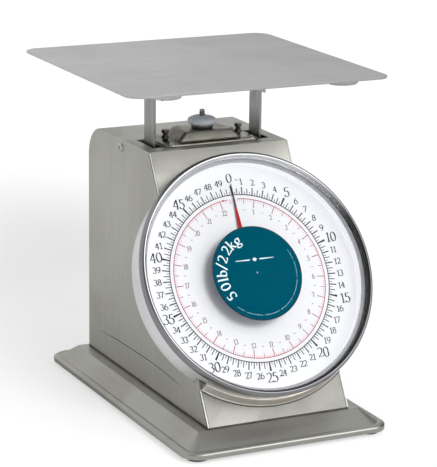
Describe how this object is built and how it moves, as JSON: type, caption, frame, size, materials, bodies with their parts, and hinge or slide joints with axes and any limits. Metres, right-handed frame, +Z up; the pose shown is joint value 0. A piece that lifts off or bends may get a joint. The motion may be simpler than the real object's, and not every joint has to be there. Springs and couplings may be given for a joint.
{
  "type": "mechanical dial platform scale",
  "caption": "Spring platform scale with a square steel platform on posts, a leaning round dial, a rack and pinion pointer and a zero knob.",
  "frame": {"origin": "centre of the base footprint, on the floor under the rubber feet", "axes": "+Z up, -Y towards the dial and the reader, +X to the right seen from the front"},
  "size_m": [0.229, 0.2886, 0.2805],
  "materials": {
    "plinth_steel": "satin",
    "rubber": "matt",
    "screw_steel": "bright",
    "chassis_steel": "plain zinc",
    "brass": "machined",
    "nylon": "moulded",
    "housing_steel": "satin",
    "saddle_steel": "satin, slightly tarnished",
    "drum_satin": "satin",
    "dial_white": "semi-gloss",
    "lens_clear": "clear",
    "disc_teal": "gloss",
    "bezel_chrome": "polished",
    "spring_steel": "bright wire",
    "platform_steel": "fine brushed",
    "post_steel": "satin",
    "pointer_red": "red body, black tip",
    "dark_steel": "blackened",
    "knob_plastic": "satin"
  },
  "bodies": {
    "root": {"base_plinth": "plinth_steel", "bottom_plate": "plinth_steel", "rubber_feet": "rubber", "foot_screws": "screw_steel", "chassis_left": "chassis_steel", "chassis_right": "chassis_steel", "chassis_bridge": "chassis_steel", "chassis_screws": "screw_steel", "dial_bulkhead": "chassis_steel", "movement_pillars": "brass", "bearing_plate": "brass", "shaft_bushes": "brass", "rack_guide": "nylon", "link_axles": "screw_steel", "axle_spacers": "brass", "dashpot_cylinder": "chassis_steel", "dashpot_cap": "chassis_steel", "overload_stops": "chassis_steel", "stop_pads": "rubber", "shell_wrap": "housing_steel", "lower_front_panel": "housing_steel", "left_side_panel": "housing_steel", "right_side_panel": "housing_steel", "rear_cover": "housing_steel", "rear_screws": "screw_steel", "side_screws": "screw_steel", "top_saddle": "saddle_steel", "saddle_screws": "screw_steel", "dial_drum": "drum_satin", "drum_screws": "screw_steel", "dial_standoffs": "screw_steel", "dial_plate": "dial_white", "dial_screws": "screw_steel", "lens_gasket": "rubber", "lens": "lens_clear", "lens_disc": "disc_teal", "bezel_ring": "bezel_chrome", "weighing_spring_left": "spring_steel", "weighing_spring_right": "spring_steel"},
    "carriage": {"platform": "platform_steel", "platform_cups": "platform_steel", "platform_brackets": "chassis_steel", "post_left": "post_steel", "post_right": "post_steel", "carriage_bolts": "screw_steel", "drive_bar": "chassis_steel", "drive_pin": "screw_steel", "lower_crossbar": "chassis_steel", "spring_anchors": "chassis_steel", "link_studs": "screw_steel", "dashpot_piston": "chassis_steel"},
    "rack": {"rack": "brass"},
    "pointer": {"pinion_shaft": "screw_steel", "pinion": "brass", "pointer": "pointer_red"},
    "upper_link": {"upper_check_links": "chassis_steel"},
    "lower_link": {"lower_check_links": "chassis_steel"},
    "zero_bridge": {"spring_bridge": "chassis_steel", "adjuster_screws": "dark_steel"},
    "zero_knob": {"zero_knob": "knob_plastic"}
  },
  "joints": [
    {"name": "carriage_slide", "type": "slide", "parent": "root", "child": "carriage", "axis": [0, 0, -1], "range_m": [0, 0.02176], "stiffness_N_per_m": 10222, "springref_m": -0.0016, "deforming": ["weighing_spring_left", "weighing_spring_right"]},
    {"name": "rack_slide", "type": "slide", "parent": "root", "child": "rack", "axis": [0, -0.5, -0.866], "range_m": [0, 0.02514]},
    {"name": "pointer_turn", "type": "hinge", "parent": "root", "child": "pointer", "pos_m": [0, -0.06416, 0.1192], "axis": [0, 0.866, -0.5], "range_deg": [0, 360]},
    {"name": "upper_link_swing", "type": "hinge", "parent": "root", "child": "upper_link", "pos_m": [0, 0.1001, 0.17712], "axis": [1, 0, 0], "range_deg": [0, 16.6]},
    {"name": "lower_link_swing", "type": "hinge", "parent": "root", "child": "lower_link", "pos_m": [0, 0.1001, 0.09312], "axis": [1, 0, 0], "range_deg": [0, 16.6]},
    {"name": "zero_turn", "type": "hinge", "parent": "root", "child": "zero_knob", "pos_m": [0, 0.0255, 0.232], "axis": [0, 0, 1], "range_deg": [-360, 360]},
    {"name": "zero_lift", "type": "slide", "parent": "root", "child": "zero_bridge", "axis": [0, 0, 1], "range_m": [-0.001, 0.001]}
  ],
  "couplings": [
    {"joint": "rack_slide", "follows": "carriage_slide", "ratio": 1.1547},
    {"joint": "pointer_turn", "follows": "carriage_slide", "rad_per_m": 288.68},
    {"joint": "upper_link_swing", "follows": "carriage_slide", "rad_per_m": 13.048},
    {"joint": "lower_link_swing", "follows": "carriage_slide", "rad_per_m": 13.048},
    {"joint": "zero_turn", "follows": "zero_lift", "rad_per_m": -6283.2}
  ]
}
